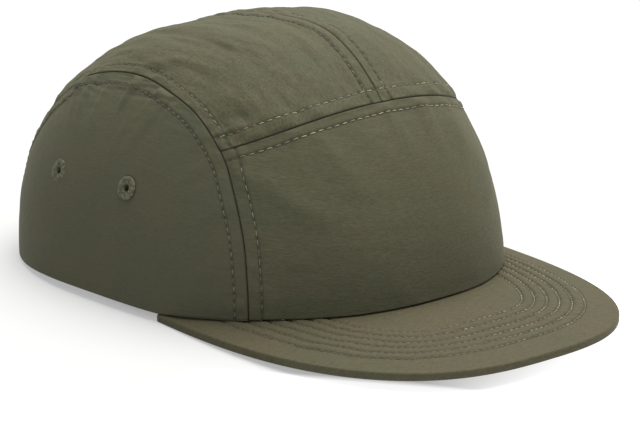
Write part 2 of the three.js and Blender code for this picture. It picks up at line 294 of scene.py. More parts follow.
def centreSeamLine():
    # Straight over the top from the front seam to the opening
    front = toMap(np.zeros(1), phiAtHeight(np.zeros(1), np.full(1, seams["frontHeight"])))[0]
    back = openingLine()[0]
    return front + (back - front) * np.linspace(0, 1, samples["centre"])[:, None]


def rimLine(fromPlace, toPlace):
    # A stretch of the map's edge, between the directions of two places
    turns = [math.atan2(-place[0], -place[1]) for place in (fromPlace, toPlace)]
    turn = np.linspace(*turns, samples["rim"])
    return np.stack([-np.sin(turn), -np.cos(turn)], axis=-1)


sideSeam = sideSeamLine()
sideSeamPoints = crownSurface(*fromMap(sideSeam))
overFront = sideSeamPoints[:, 2] > frontSeamHeightAt(sideSeamPoints[:, 0])
crossing = int(np.argmax(overFront))
frontSeam = frontSeamLine(-sideSeamPoints[crossing, 0])
frontSeam[-1] = sideSeam[crossing]
opening = openingLine()
centreSeam = centreSeamLine()
seamLines = dict(
    sideLow=sideSeam[:crossing + 1],
    sideHigh=sideSeam[crossing:],
    side=sideSeam,
    front=frontSeam,
    centre=centreSeam,
    opening=opening,
)
print("seam lines laid out: side", round(curveLength(sideSeam)[-1]), "mm, front",
      round(2 * curveLength(frontSeam)[-1]), "mm, centre", round(curveLength(centreSeam)[-1]), "mm")


# Distances from seams


seamStep = 0.6         # millimetres between the points of a seam
blockSize = 8000       # points compared at a time


def seamPoints(name, side):
    # Even points along a seam, the front one over its whole width
    line = mirrored(seamLines[name], side)
    if name == "front":
        line = np.concatenate([line[::-1], mirrored(line, 1)[1:]])
    count = int(curveLength(line)[-1] / seamStep)
    return crownSurface(*fromMap(along(line, np.linspace(0, 1, count))))


def nearestOnCurve(points, curve):
    # Nearest curve vertex by squared distances in blocks, then the foot of the perpendicular there
    flat = points.reshape(-1, 3)
    nearest = np.empty(len(flat), int)
    squares = (curve ** 2).sum(1)
    for start in range(0, len(flat), blockSize):
        block = slice(start, start + blockSize)
        nearest[block] = np.argmin(squares - 2 * flat[block] @ curve.T, axis=1)
    slope = unit(np.gradient(curve, axis=0))
    length = lengthAlong(curve)
    offset = flat - curve[nearest]
    shift = (offset * slope[nearest]).sum(1)
    inside = np.clip(shift, -seamStep, seamStep)
    distance = np.sqrt(np.maximum((offset ** 2).sum(1) - 2 * inside * shift + inside ** 2, 0))
    return distance.reshape(points.shape[:-1]), (length[nearest] + inside).reshape(points.shape[:-1])


# How the cloth of each panel lies


cloth = dict(
    thickness=1.6, hemThickness=2.4, hemHeight=20.0, hemStep=0.8,
    roll=0.35, rollDepth=0.42, innerRoll=0.6,
    lift=0.3, rowDepth=0.3, rowWidth=0.6,
    stitchPitch=3.2, holeDepth=0.2, deepestDent=0.35,
    rimRoll=0.3, rimRollShare=0.7,
    # Painted shade: its width at the seam line, and its strength in the stitched groove and at the needle
    # holes
    seamShadeWidth=0.4, rowShade=0.4, holeShade=0.4,
    calm=(0.5, 9.0), free=(0.3, 2.5),            # millimetres past a seam, where waves and folds grow
    waveSlant=0.35, sharpLevel=0.5, sharpDepth=1.6,
    foldFades=(-0.25, 0.2, 0.8, 1.25),           # shares of a fold's length
)

# Shares of the inset, or of the depth below the top, that the cloth's coordinates take in
laying = dict(front=0.7, side=0.6, top=0.8, topTurn=25.0)

# Ripples are small waves inside the stitched band, and puckers reach further in. Reaches are millimetres
# past the seam or past the row, and the run of one is how far in it keeps its place
gathers = dict(
    bandRise=0.6, bandFall=(-0.6, 1.6), fadeIn=(0.2, 2.0), rippleFall=(-0.5, 4.5),
    sway=0.25, swayPitch=26.0, swayRun=40.0,
    rippleRun=9.0, rippleShift=7.3, puckerRun=34.0, puckerShift=3.1,
    creaseWidth=0.4, creaseLevel=0.35,
)

# What most seams have, and then each kind of seam, with the strength of the painted shade along its seam line
usual = dict(ripplePitch=3.3, puckerPitch=6.5, crease=0.3, reach=12.0, sunk=1.0, paintedShade=0.9)
seamKinds = dict(
    frontBelow=dict(usual, row=4.3, ripple=0.36, pucker=0.6, puckerPitch=7.5, reach=22.0, seed=1),
    frontAbove=dict(usual, row=5.5, ripple=0.4, pucker=0.4, seed=2),
    sideFront=dict(usual, row=5.2, ripple=0.28, ripplePitch=3.4, pucker=0.22, reach=14.0, seed=3),
    sideInner=dict(
        usual, row=5.2, ripple=0.75, ripplePitch=2.9, pucker=1.15, puckerPitch=5.2, crease=0.55, reach=17.0,
        seed=4),
    sideOver=dict(
        usual, row=3.9, ripple=0.56, ripplePitch=3.1, pucker=0.4, puckerPitch=5.6, crease=0.4, seed=5),
    centre=dict(
        usual, row=4.7, ripple=0.42, ripplePitch=3.4, pucker=0.4, puckerPitch=7.0, sunk=1.5, paintedShade=0.65,
        seed=6),
    opening=dict(
        usual, row=5.5, ripple=0.12, ripplePitch=3.6, pucker=0.14, puckerPitch=9.0, crease=0.2, reach=10.0,
        seed=7),
)


def stitchHole(run, pitch):
    # One at each needle hole and nothing between: a narrow power of a cosine
    return (0.5 + 0.5 * np.cos(2 * math.pi * run / pitch)) ** 3


def seamRelief(kind, distance, place, slack):
    # A lifted band beside the seam, ripples across it, longer puckers that fade into the panel,
    # and soft creases where the pucker noise passes zero
    row, seed = kind["row"], kind["seed"]
    bandEnd = [row + past for past in gathers["bandFall"]]
    rippleEnd = [row + past for past in gathers["rippleFall"]]
    band = smoothStep(distance, 0.0, gathers["bandRise"]) * (1 - smoothStep(distance, *bandEnd))
    slow = softNoise(place / gathers["swayPitch"], distance / gathers["swayRun"], seed + 4)
    swayed = place + gathers["sway"] * distance * slow
    ripples = softNoise(
        swayed / kind["ripplePitch"] + seed * gathers["rippleShift"], distance / gathers["rippleRun"], seed)
    fadeIn = smoothStep(distance, *gathers["fadeIn"])
    height = kind["ripple"] * ripples * fadeIn * slack * (1 - smoothStep(distance, *rippleEnd))
    puckers = softNoise(
        swayed / kind["puckerPitch"] + gathers["puckerShift"], distance / gathers["puckerRun"], seed + 8)
    creases = np.exp(-(puckers / gathers["creaseWidth"]) ** 2) - gathers["creaseLevel"]
    fadeOut = np.exp(-(distance / kind["reach"]) ** 2)
    height += kind["pucker"] * (puckers - kind["crease"] * creases) * fadeIn * slack * fadeOut
    deepest = cloth["deepestDent"]
    return np.where(height < 0, -deepest * np.tanh(-height / deepest), height), band


def waveHeight(wave, across, up):
    # Soft noise stretched along the cloth; a sharp wave folds the noise into creases at its zeros
    slanted = across / wave["across"] + cloth["waveSlant"] * up / wave["across"]
    noise = softNoise(slanted, up / wave["up"], wave["seed"])
    if wave.get("sharp"):
        noise = cloth["sharpLevel"] - cloth["sharpDepth"] * np.abs(noise)
    return wave["depth"] * noise


def rolled(distance, reach):
    # A quarter circle of fall, from none at the reach to one at the edge
    edge = np.clip(1 - distance / reach, 0, 1)
    return 1 - np.sqrt(np.maximum(1 - edge ** 2, 0))


def clothHeight(panel, points, coords):
    # Sum of the waves and folds, the relief beside each seam, its stitched groove and its rolled edge, and
    # the painted shade along the seam line and in the groove
    across, up = coords
    distances, places = {}, {}
    calm = np.ones(points.shape[:-1])
    free = np.ones(points.shape[:-1])
    height, band, groove, fall, shade = np.zeros((5,) + points.shape[:-1])
    for name, kindName in panel["seams"]:
        kind = seamKinds[kindName]
        distance, place = nearestOnCurve(points, seamPoints(name, panel["side"]))
        distances[name], places[name] = distance, place
        calm = calm * smoothStep(distance, *cloth["calm"])
        free = free * smoothStep(distance, *cloth["free"])
        relief, inBand = seamRelief(kind, distance, place, panel["slack"](place))
        height += relief
        band = np.maximum(band, inBand)
        row = np.exp(-((distance - kind["row"]) / cloth["rowWidth"]) ** 2)
        hole = stitchHole(place, cloth["stitchPitch"])
        groove = np.maximum(groove, row * kind["sunk"] * (cloth["rowDepth"] + cloth["holeDepth"] * hole))
        fall = np.maximum(fall, rolled(distance, cloth["roll"]))
        # Painted shade along the seam line and in the stitched groove, darkest at the needle holes
        shade = np.maximum(shade, kind["paintedShade"] * np.exp(-(distance / cloth["seamShadeWidth"]) ** 2))
        shade = np.maximum(shade, row * kind["sunk"] * (cloth["rowShade"] + cloth["holeShade"] * hole))
    for wave in panel["waves"]:
        share = calm
        if "near" in wave:
            share = free * np.exp(-(distances[wave["near"]] / wave["reach"]) ** 2)
            share = share * panel["slack"](places[wave["near"]])
        height += share * waveHeight(wave, across, up)
    for fold in panel["folds"]:
        height += free * foldHeight(fold, across, up)
    rimFall = rolled(points[..., 2] - rimHeight(fromPoint(points)), cloth["rimRoll"])
    height += cloth["lift"] * band - groove - cloth["rollDepth"] * fall
    height -= cloth["rimRollShare"] * cloth["rimRoll"] * rimFall
    return dict(
        height=height, shade=shade, fall=np.maximum(fall, rimFall), distances=distances, places=places)


def fromPoint(points):
    # Angle round the rim of a point, by its direction from the crown's middle
    return spreadAngle(
        np.arctan2(-points[..., 0] / crown["halfWidth"], -(points[..., 1] - middleY) / crown["halfLength"]),
        crown["rimSquareness"])


def foldHeight(fold, across, up):
    # A soft ridge or dent along a straight line: a bell across it that fades at both ends
    start = np.array(fold["start"])
    end = np.array(fold["end"])
    length = np.linalg.norm(end - start)
    way = (end - start) / length
    dx = across - start[0]
    dy = up - start[1]
    run = dx * way[0] + dy * way[1]
    off = -dx * way[1] + dy * way[0]
    grows, full, wanes, gone = [share * length for share in cloth["foldFades"]]
    ends = smoothStep(run, grows, full) * (1 - smoothStep(run, wanes, gone))
    return fold["depth"] * np.exp(-(off / fold["width"]) ** 2) * ends


def clothCoords(points, theta, kind):
    # Cloth coordinates in millimetres, the first along the weft: level on the front and the sides, with
    # the height plus a share of the inset as the second; from front to rear on the top
    x, y, z = points[..., 0], points[..., 1] - middleY, points[..., 2]
    planX, planY = rimPlan(theta)
    inset = np.hypot(x - planX, y - planY)
    if kind == "front":
        return x, z + laying["front"] * inset
    if kind == "side":
        return y, z + laying["side"] * inset
    deep = crown["height"] - z
    behindApex = y + crown["apexForward"]
    sideways = deep * x ** 2 / (x ** 2 + behindApex ** 2 + 1)
    along = y + laying["top"] * deep * np.tanh(behindApex / laying["topTurn"])
    return along, np.sign(x) * np.hypot(x, sideways)


sidePuckers = dict(atFront=0.2, grow=(75.0, 115.0), lost=0.85, wane=(145.0, 185.0))   # mm along the seam


def calmSlack(place):
    return 1.0


def sideSlack(place):
    # The curved top of the side seam puckers most, and its way down to the rear least
    first = sidePuckers["atFront"]
    grown = first + (1 - first) * smoothStep(place, *sidePuckers["grow"])
    return grown * (1 - sidePuckers["lost"] * smoothStep(place, *sidePuckers["wane"]))


# What the panels of a pair share. A row of stitches is found along one axis of the grid, from its start
# or its end, and stops at a distance from the seams that cross it
sidePanel = dict(
    kind="side", slack=sideSlack, seams=[("side", "sideInner")], folds=[], rows=[dict(seam="side", axis=0)])
topPanel = dict(
    kind="top", slack=calmSlack,
    seams=[("front", "frontAbove"), ("sideHigh", "sideOver"), ("centre", "centre"), ("opening", "opening")],
    folds=[],
    rows=[
        dict(seam="front", axis=1, stopAt=dict(sideHigh=2.6), tack="first"),
        dict(seam="centre", axis=0, stopAt=dict(front=5.2, opening=5.2), tack="first"),
        dict(seam="sideHigh", axis=0, fromEnd=True, stopAt=dict(front=6.0)),
        dict(seam="opening", axis=0)],
)
panels = dict(
    front_panel=dict(
        side=-1, kind="front", slack=calmSlack,
        seams=[("sideLow", "sideFront"), ("front", "frontBelow")],
        waves=[
            dict(depth=0.34, across=22.0, up=60.0, seed=12),
            dict(depth=0.14, across=9.0, up=20.0, seed=13),
            dict(depth=0.07, across=12.0, up=3.4, seed=22)],
        folds=[
            dict(start=(-55, 68), end=(-38, 49), width=5.0, depth=0.7),
            dict(start=(-27, 82), end=(-22, 58), width=4.0, depth=0.3),
            dict(start=(-60, 40), end=(-44, 30), width=4.5, depth=0.35),
            dict(start=(30, 84), end=(44, 52), width=6.0, depth=0.5),
            dict(start=(56, 60), end=(40, 40), width=5.0, depth=0.4)],
        rows=[
            dict(seam="front", axis=0, fromEnd=True, stopAt=dict(sideLow=2.6)),
            dict(seam="sideLow", axis=1, stopAt=dict(front=4.8)),
            dict(seam="sideLow", axis=1, fromEnd=True, stopAt=dict(front=4.8))],
    ),
    side_panel_right=dict(
        sidePanel, side=-1,
        waves=[
            dict(depth=0.4, across=40.0, up=34.0, seed=14),
            dict(depth=0.1, across=12.0, up=14.0, seed=15),
            dict(depth=0.04, across=14.0, up=3.4, seed=23),
            dict(depth=0.32, across=9.0, up=1.6, seed=31, near="side", reach=15.0)],
    ),
    side_panel_left=dict(
        sidePanel, side=1,
        waves=[
            dict(depth=0.4, across=38.0, up=32.0, seed=16),
            dict(depth=0.1, across=11.0, up=15.0, seed=17),
            dict(depth=0.04, across=14.0, up=3.4, seed=24),
            dict(depth=0.32, across=9.0, up=1.6, seed=32, near="side", reach=15.0)],
    ),
    top_panel_right=dict(
        topPanel, side=-1,
        waves=[
            dict(depth=0.5, across=40.0, up=16.0, seed=18),
            dict(depth=0.36, across=30.0, up=7.0, seed=19),
            dict(depth=0.3, across=24.0, up=4.2, seed=25, sharp=True),
            dict(depth=0.24, across=13.0, up=2.4, seed=27)],
        folds=[
            dict(start=(-54, -62), end=(-61, -55), width=1.3, depth=0.55),
            dict(start=(-49, -57), end=(-61, -50), width=2.6, depth=-0.6),
            dict(start=(18, -54), end=(2, -50), width=2.2, depth=-0.55),
            dict(start=(19, -50), end=(0, -46), width=1.8, depth=0.4)],
    ),
    top_panel_left=dict(
        topPanel, side=1,
        waves=[
            dict(depth=0.5, across=38.0, up=17.0, seed=20),
            dict(depth=0.36, across=28.0, up=7.5, seed=21),
            dict(depth=0.3, across=22.0, up=4.4, seed=26, sharp=True),
            dict(depth=0.24, across=13.0, up=2.4, seed=28)],
    ),
)


# Patches on the map


# Steps in millimetres: finest at a seam, fine as far as its stitches, coarse in the middle
grid = dict(
    finest=0.1, growth=1.35, fine=0.45, fineReach=7.0, coarse=0.85,
    sideCoarse=0.72, sideDepth=62.0, topDepth=58.0,
)


def edgeSteps(fineReach, coarse):
    # Steps that grow by a ratio from the seam, stay fine as far as the stitches, and grow again
    steps = [grid["finest"]]
    while steps[-1] * grid["growth"] < min(grid["fine"], coarse):
        steps.append(steps[-1] * grid["growth"])
    while sum(steps) < fineReach:
        steps.append(grid["fine"])
    while steps[-1] * grid["growth"] < coarse:
        steps.append(steps[-1] * grid["growth"])
    return steps


def gradedShares(length, startReach, endReach, coarse=grid["coarse"]):
    # Shares of a length, finer towards both ends
    first = edgeSteps(startReach, coarse)
    last = edgeSteps(endReach, coarse)[::-1]
    middle = max(int(round((length - sum(first) - sum(last)) / coarse)), 1)
    row = np.array(first + [coarse] * middle + last)
    return np.concatenate([[0], np.cumsum(row)]) / row.sum()


def coonsPatch(bottom, top, left, right, us, vs):
    # Two ruled surfaces between opposite edges, less the bilinear patch of the corners
    u = us[:, None, None]
    v = vs[None, :, None]
    upwards = (1 - v) * along(bottom, us)[:, None] + v * along(top, us)[:, None]
    sideways = [(1 - u) * along(left, vs)[None], u * along(right, vs)[None]]
    corners = (1 - u) * (1 - v) * bottom[0] + u * (1 - v) * bottom[-1]
    corners = corners + (1 - u) * v * top[0] + u * v * top[-1]
    return upwards + sideways[0] + sideways[1] - corners


def sidePatch(side):
    # Ruled between the side seam and the rim, which meet at both ends
    rim = rimLine(sideSeam[0], sideSeam[-1])
    us = gradedShares(curveLength(sideSeam)[-1], 0.0, 0.0, grid["sideCoarse"])
    vs = gradedShares(grid["sideDepth"], grid["fineReach"], 0.0)
    share = vs[None, :, None]
    place = along(sideSeam, us)[:, None] * (1 - share) + along(rim, us)[:, None] * share
    return mirrored(place, side)


def frontPatch():
    # Between the rim, the front seam and the low parts of both side seams
    rightFoot = sideSeam[0]
    rim = rimLine(rightFoot, mirrored(rightFoot, 1))
    top = np.concatenate([frontSeam[::-1], mirrored(frontSeam, 1)[1:]])
    right = seamLines["sideLow"]
    us = gradedShares(curveLength(rim)[-1], grid["fineReach"], grid["fineReach"])
    vs = gradedShares(curveLength(right)[-1], 0.0, grid["fineReach"])
    return coonsPatch(rim, top, right, mirrored(right, 1), us, vs)


def topPatch(side):
    # Between the centre seam with the opening, the side seam's high part, the front seam and the rim
    inner = np.concatenate([centreSeam, opening[1:]])
    outer = seamLines["sideHigh"]
    rim = rimLine(opening[-1], outer[-1])
    us = gradedShares(curveLength(outer)[-1], grid["fineReach"], 0.0)
    vs = gradedShares(grid["topDepth"], grid["fineReach"], grid["fineReach"])
    return mirrored(coonsPatch(inner, outer, frontSeam, rim, us, vs), side)


# Meshes


def meshObject(name, points, faces, uv=None, attributes=None):
    # Points in millimetres; faces is a list of arrays, each with its own number of corners
    mesh = bpy.data.meshes.new(name)
    corners = np.concatenate([f.ravel() for f in faces])
    counts = np.concatenate([np.full(len(f), f.shape[1]) for f in faces])
    mesh.vertices.add(len(points))
    mesh.vertices.foreach_set("co", (points * mm).astype(np.float32).ravel())
    mesh.loops.add(len(corners))
    mesh.loops.foreach_set("vertex_index", corners.astype(np.int32))
    mesh.polygons.add(len(counts))
    mesh.polygons.foreach_set("loop_start", np.concatenate([[0], np.cumsum(counts)[:-1]]).astype(np.int32))
    mesh.polygons.foreach_set("use_smooth", np.full(len(counts), True))
    if uv is not None:
        layer = mesh.uv_layers.new(name="clothMap")
        layer.data.foreach_set("uv", uv[corners].astype(np.float32).ravel())
    for key, values in (attributes or {}).items():
        layer = mesh.attributes.new(key, "FLOAT", "POINT")
        layer.data.foreach_set("value", values.astype(np.float32))
    mesh.update()
    mesh.validate()
    piece = bpy.data.objects.new(name, mesh)
    bpy.context.scene.collection.objects.link(piece)
    return piece


def gridFaces(rows, columns, wrapRows=False, wrapColumns=False):
    # Four corners for each cell of a grid, which may close on itself either way
    i = np.arange(rows if wrapRows else rows - 1)[:, None]
    j = np.arange(columns if wrapColumns else columns - 1)[None, :]
    a = i * columns + j
    b = ((i + 1) % rows) * columns + j
    c = ((i + 1) % rows) * columns + (j + 1) % columns
    d = i * columns + (j + 1) % columns
    return np.stack([a, b, c, d], axis=-1).reshape(-1, 4)


def wallFaces(kept, count):
    # Every edge that only one kept face has gets a wall from the outer to the inner layer
    edges = np.concatenate([kept[:, [k, (k + 1) % 4]] for k in range(4)])
    low = edges.min(1)
    high = edges.max(1)
    key = low.astype(np.int64) * count + high
    _, first, times = np.unique(key, return_index=True, return_counts=True)
    rim = edges[first[times == 1]]
    return np.stack([rim[:, 1], rim[:, 0], rim[:, 0] + count, rim[:, 1] + count], axis=-1)


def slabObject(name, outer, inner, normal, uv, attributes, keep=None):
    # Two layers of one grid joined by walls along every open edge
    faces = gridFaces(*outer.shape[:2])
    if keep is not None:
        whole = keep[:-1, :-1] & keep[1:, :-1] & keep[1:, 1:] & keep[:-1, 1:]
        faces = faces[whole.ravel()]
    flat = outer.reshape(-1, 3)
    a, b, c = flat[faces[:, 0]], flat[faces[:, 1]], flat[faces[:, 2]]
    facing = (np.cross(b - a, c - a) * normal.reshape(-1, 3)[faces[:, 0]]).sum()
    if facing < 0:
        faces = faces[:, ::-1]
    count = len(flat)
    walls = wallFaces(faces, count)
    points = np.concatenate([flat, inner.reshape(-1, 3)])
    doubled = {k: np.concatenate([v.ravel(), v.ravel()]) for k, v in attributes.items()}
    uvs = np.concatenate([uv.reshape(-1, 2)] * 2)
    return meshObject(name, points, [faces, faces[:, ::-1] + count, walls], uvs, doubled)


def eyeletPlace(side, where):
    # Angles of an eyelet's middle, mirrored to its own side
    along, up = eyelets[where]
    height = np.full(1, up * crown["height"])
    theta = -side * thetaOnSide(np.full(1, along * crown["halfLength"]), height)
    return theta, phiAtHeight(theta, height)


def hemDepth(base):
    # Thicker below the hem's edge, with a short step
    rise = base[..., 2] - rimHeight(fromPoint(base))
    above = smoothStep(rise, cloth["hemHeight"] - cloth["hemStep"], cloth["hemHeight"] + cloth["hemStep"])
    return cloth["hemThickness"] + (cloth["thickness"] - cloth["hemThickness"]) * above


def clothPanel(name, place):
    # The panel's outer face with its relief, its inner face at the cloth's depth, and the rows to sew
    panel = panels[name]
    theta, phi = fromMap(place)
    base = crownSurface(theta, phi)
    normal = crownNormal(theta, phi)
    coords = clothCoords(base, theta, panel["kind"])
    lie = clothHeight(panel, base, coords)
    outer = base + normal * lie["height"][..., None]
    inner = base - normal * (hemDepth(base) - cloth["innerRoll"] * lie["fall"])[..., None]
    keep = None
    if panel["kind"] == "side":
        keep = np.ones(base.shape[:2], bool)
        for where in ("front", "rear"):
            centre = crownSurface(*eyeletPlace(panel["side"], where))[0]
            keep &= np.linalg.norm(base - centre, axis=-1) > eyelets["cut"]
    uv = np.stack(coords, axis=-1) / mapUnit
    # The painted seam shade goes with the mesh as its own attribute
    piece = slabObject(name + "_cloth", outer, inner, normal, uv, dict(seamShade=lie["shade"]), keep)
    piece.data.materials.append(panelCloths[panel["kind"]])
    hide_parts(name)
    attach(piece, "root")
    print("made", piece.name, len(piece.data.polygons), "faces")
    return [sewnRow(panel, lie, outer, normal, **row) for row in panel["rows"]]


def levelLine(field, level, layers, axis, fromEnd):
    # Where the field first passes the level on each grid line, with all layers blended there
    stack = np.concatenate([field[..., None]] + layers, axis=-1)
    if axis == 1:
        stack = stack.swapaxes(0, 1)
    if fromEnd:
        stack = stack[:, ::-1]
    above = stack[..., 0] > level
    first = np.argmax(above, axis=1)
    lines = np.flatnonzero(first > 0)
    low = stack[lines, first[lines] - 1]
    high = stack[lines, first[lines]]
    share = ((level - low[:, 0]) / (high[:, 0] - low[:, 0]))[:, None]
    return (low + (high - low) * share)[:, 1:]


def sewnRow(panel, lie, outer, normal, seam, axis, fromEnd=False, stopAt=None, tack=None):
    # A row keeps its distance from its own seam and stops at a distance from the seams that cross it.
    # A line's columns are the point, the normal, the place along the seam and those distances
    kind = seamKinds[dict(panel["seams"])[seam]]
    place = lie["places"][seam][..., None]
    others = [lie["distances"][name][..., None] for name in stopAt or ()]
    line = levelLine(lie["distances"][seam], kind["row"], [outer, normal, place] + others, axis, fromEnd)
    if stopAt:
        line = line[(line[:, 7:] > np.array(list(stopAt.values()))).all(1)]
    line = line[np.argsort(line[:, 6])]
    # The thread's painted glint for its seam, made duller towards the rear
    tone = thread["tones"][seam] * (1 - thread["dulled"] * smoothStep(line[:, 1], *thread["dulledPast"]))
    return dict(
        points=line[:, :3], normals=unit(line[:, 3:6]), run=line[:, 6], pitch=cloth["stitchPitch"],
        tone=tone, tack=tack)


# Materials


def newMaterial(name, roughness, specular=0.3, sheen=0.0, sheenRoughness=0.5):
    material = bpy.data.materials.new(name)
    material.use_nodes = True
    tree = material.node_tree
    shader = tree.nodes["Principled BSDF"]
    shader.inputs["Roughness"].default_value = roughness
    shader.inputs["Specular IOR Level"].default_value = specular
    shader.inputs["Sheen Weight"].default_value = sheen
    shader.inputs["Sheen Roughness"].default_value = sheenRoughness
    return material, tree, shader


def addNode(tree, kind, inputs, output=0, **settings):
    # A node with its settings; each input takes a number, a colour or the output of another node
    node = tree.nodes.new("ShaderNode" + kind)
    for key, value in settings.items():
        setattr(node, key, value)
    for key, value in inputs.items():
        if isinstance(value, bpy.types.NodeSocket):
            tree.links.new(value, node.inputs[key])
        else:
            node.inputs[key].default_value = value
    return node.outputs[output]


def clothMap(tree):
    return addNode(tree, "UVMap", {}, uv_map="clothMap")


def objectPlace(tree):
    return addNode(tree, "TexCoord", {}, "Object")


def ownValue(tree, name):
    return addNode(tree, "Attribute", {}, "Fac", attribute_name=name)


def scaled(tree, place, scale):
    return addNode(tree, "Mapping", dict(Vector=place, Scale=scale))


def noise(tree, place, scale=1.0, detail=2.0, roughness=0.5):
    inputs = dict(Vector=place, Scale=scale, Detail=detail, Roughness=roughness)
    return addNode(tree, "TexNoise", inputs, "Fac")


def ranged(tree, value, fromLow, fromHigh, toLow=0.0, toHigh=1.0):
    inputs = {"Value": value, "From Min": fromLow, "From Max": fromHigh, "To Min": toLow, "To Max": toHigh}
    return addNode(tree, "MapRange", inputs)


def mixed(tree, share, first, second):
    # The first colour's and the second colour's sockets are numbers 6 and 7, and the result's is 2
    return addNode(tree, "Mix", {"Factor": share, 6: first, 7: second}, 2, data_type="RGBA")


def calculated(tree, kind, first, second=0.0):
    return addNode(tree, "Math", {0: first, 1: second}, operation=kind)


def bumped(tree, height, distance, before=None):
    inputs = dict(Strength=1.0, Distance=distance, Height=height)
    if before is not None:
        inputs["Normal"] = before
    return addNode(tree, "Bump", inputs)


finishes = dict(
    brown=(0.0675, 0.0615, 0.0358, 1.0),
    green=(0.0598, 0.0605, 0.0352, 1.0),
    # A cooler copy of the cloth colours for the side panels, as a painted shade tint
    sideBrownShadeTint=(0.0650, 0.0616, 0.0367, 1.0),
    sideGreenShadeTint=(0.0590, 0.0608, 0.0363, 1.0),
    peakBrown=(0.0655, 0.0562, 0.0325, 1.0),
    peakGreen=(0.0590, 0.0552, 0.0315, 1.0),
    sheen=(0.9, 0.85, 0.6, 1.0),
    # Painted shade, mixed into the cloth along the seams and stitch grooves
    paintedShade=(0.014, 0.013, 0.008, 1.0),
    thread=(0.30, 0.275, 0.18, 1.0),
    threadDark=(0.045, 0.042, 0.028, 1.0),
    eyelet=(0.104, 0.101, 0.051, 1.0),
    eyeletDark=(0.03, 0.03, 0.015, 1.0),
    webbing=(0.07, 0.068, 0.046, 1.0),
    webbingDark=(0.035, 0.034, 0.023, 1.0),
    plastic=(0.012, 0.012, 0.010, 1.0),
)


weave = dict(
    threadPitch=0.42,                                      # millimetres
    crumple=0.00016, slub=0.00009, thread=0.000014,        # heights in metres
    clouds=(4.5, 3.2, 1.0), wefts=(30.0, 110.0, 1.0),      # noise in 100 mm along and across the weft
    grain=(75.0, 230.0, 1.0), crumples=(24.0, 38.0, 1.0),
    cloudTones=(0.35, 0.65), slubTones=(0.62, 1.18),       # the noise's range that the tones take in
    weftShare=0.8, rowShade=0.72,
)


def lineWaves(tree, value, pitch):
    # Sine of a coordinate in millimetres
    return calculated(tree, "SINE", calculated(tree, "MULTIPLY", value, 2 * math.pi / pitch))


def nylonMaterial(name, warm, cool, slubs):
    # Crinkled nylon: slow tones, short uneven lines of thick weft, a fine grain and a plain weave, with
    # painted shade along the seams and stitch grooves from the seamShade attribute
    material, tree, shader = newMaterial(name, roughness=0.72, specular=0.12, sheen=0.07, sheenRoughness=0.4)
    shader.inputs["Sheen Tint"].default_value = finishes["sheen"]
    place = clothMap(tree)
    clouds = noise(tree, scaled(tree, place, weave["clouds"]), detail=3.0, roughness=0.55)
    tone = mixed(tree, ranged(tree, clouds, *weave["cloudTones"]), finishes[warm], finishes[cool])
    wefts = noise(tree, scaled(tree, place, weave["wefts"]), detail=3.0, roughness=0.6)
    grain = noise(tree, scaled(tree, place, weave["grain"]), detail=2.0, roughness=0.6)
    slub = calculated(tree, "ADD", calculated(tree, "MULTIPLY", wefts, weave["weftShare"]), grain)
    slubTone = ranged(tree, slub, *weave["slubTones"], 1.0 - slubs, 1.0 + slubs)
    lit = addNode(tree, "VectorMath", {0: tone, "Scale": slubTone}, operation="SCALE")
    # Painted shade of the seam lines and stitch grooves
    darker = calculated(tree, "MULTIPLY", ownValue(tree, "seamShade"), weave["rowShade"])
    tree.links.new(mixed(tree, darker, lit, finishes["paintedShade"]), shader.inputs["Base Color"])
    crumples = noise(tree, scaled(tree, place, weave["crumples"]), detail=3.0, roughness=0.6)
    ways = addNode(tree, "SeparateXYZ", {0: scaled(tree, place, (mapUnit, mapUnit, 1.0))}).node.outputs
    threads = [lineWaves(tree, ways[k], weave["threadPitch"]) for k in range(2)]
    normal = bumped(tree, crumples, weave["crumple"])
    normal = bumped(tree, slub, weave["slub"], normal)
    normal = bumped(tree, calculated(tree, "MULTIPLY", *threads), weave["thread"], normal)
    tree.links.new(normal, shader.inputs["Normal"])
    return material


def threadMaterial():
    # Sewing thread: light, a little glossy, with a slow change of tone along the rows, and painted glint and
    # painted shade from its own attribute
    material, tree, shader = newMaterial(
        "sewingThread", roughness=0.55, specular=0.4, sheen=0.2, sheenRoughness=0.3)
    slow = ranged(tree, noise(tree, objectPlace(tree), scale=130.0, detail=3.0), 0.38, 0.62, 0.45, 1.1)
    share = calculated(tree, "MULTIPLY", ownValue(tree, "threadGlintAndTone"), slow)
    color = mixed(tree, share, finishes["threadDark"], finishes["thread"])
    tree.links.new(color, shader.inputs["Base Color"])
    return material


def eyeletMaterial():
    # The same olive as the cloth, as glossy thread
    material, tree, shader = newMaterial(
        "eyeletThread", roughness=0.5, specular=0.35, sheen=0.04, sheenRoughness=0.3)
    share = ranged(tree, noise(tree, objectPlace(tree), scale=900.0), 0.35, 0.65)
    color = mixed(tree, share, finishes["eyeletDark"], finishes["eyelet"])
    tree.links.new(color, shader.inputs["Base Color"])
    return material


def webbingMaterial():
    # Woven nylon webbing: slanted checks of warp and weft
    material, tree, shader = newMaterial(
        "strapWebbing", roughness=0.62, specular=0.35, sheen=0.15, sheenRoughness=0.4)
    inputs = dict(Vector=scaled(tree, clothMap(tree), (1.0, 3.0, 1.0)), Scale=26.0, Distortion=1.2)
    checks = addNode(tree, "TexWave", inputs, "Fac", bands_direction="DIAGONAL")
    color = mixed(tree, checks, finishes["webbingDark"], finishes["webbing"])
    tree.links.new(color, shader.inputs["Base Color"])
    tree.links.new(bumped(tree, checks, 0.0002), shader.inputs["Normal"])
    return material


